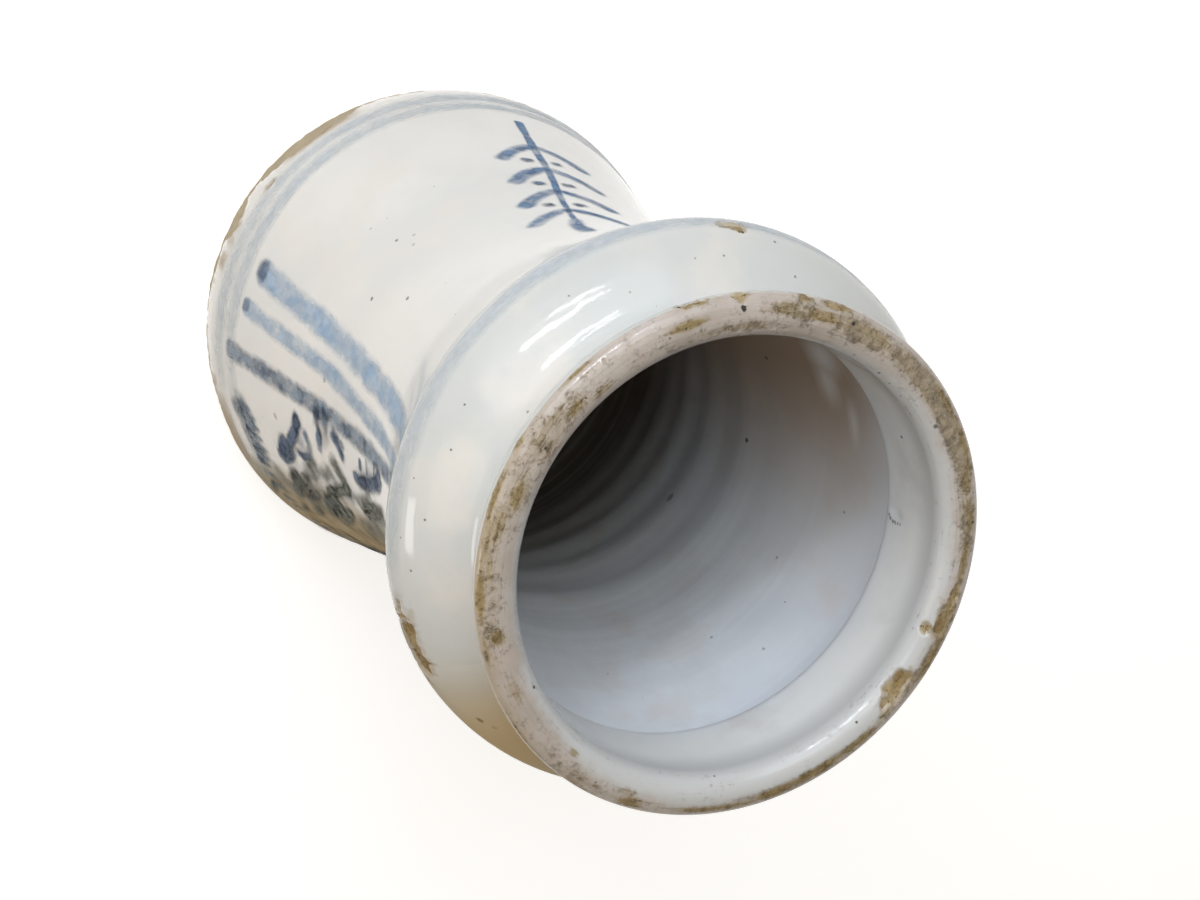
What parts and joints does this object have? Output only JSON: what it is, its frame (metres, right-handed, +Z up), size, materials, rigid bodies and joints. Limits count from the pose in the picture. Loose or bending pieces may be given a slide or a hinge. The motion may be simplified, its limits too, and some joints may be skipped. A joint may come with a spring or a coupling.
{
  "type": "albarello pharmacy jar",
  "caption": "Waisted tin-glazed earthenware jar with a flared foot, rounded shoulder, grooved neck and open mouth, painted with blue bands, stripes and leaves.",
  "frame": {"origin": "middle of the base, on the plane that the jar stands on", "axes": "+Z up along the jar's axis towards the mouth; -Y is the side turned to the camera in the picture"},
  "size_m": [0.1184, 0.1184, 0.185],
  "materials": {
    "fired_clay": "matt buff earthenware, worn and stained",
    "inside_glaze": "glossy bluish white tin glaze with pinholes",
    "outside_glaze": "glossy cream white tin glaze with pinholes",
    "lip_glaze": "thin worn tin glaze, pinkish where the clay shows through",
    "band_paint": "watery grey blue under the gloss",
    "pale_blue_paint": "watery pale blue under the gloss",
    "grey_blue_paint": "mottled grey blue under the gloss",
    "deep_blue_paint": "deep blue under the gloss",
    "leaf_paint": "green black under the gloss",
    "sprig_paint": "middle blue under the gloss"
  },
  "bodies": {
    "root": {"clay_body": "fired_clay", "inner_glaze": "inside_glaze", "outer_glaze": "outside_glaze", "lip_glaze": "lip_glaze", "shoulder_band_upper": "band_paint", "shoulder_band_lower": "band_paint", "foot_band_upper": "band_paint", "foot_band_lower": "band_paint", "broad_stripes": "pale_blue_paint", "slim_stripes": "pale_blue_paint", "dark_stripes": "grey_blue_paint", "stripe_beads": "deep_blue_paint", "flower_dabs": "deep_blue_paint", "leaf_dabs": "leaf_paint", "grass_tufts": "grey_blue_paint", "sprig_stem": "sprig_paint", "sprig_leaves": "sprig_paint", "sprig_berries": "deep_blue_paint"}
  },
  "joints": []
}
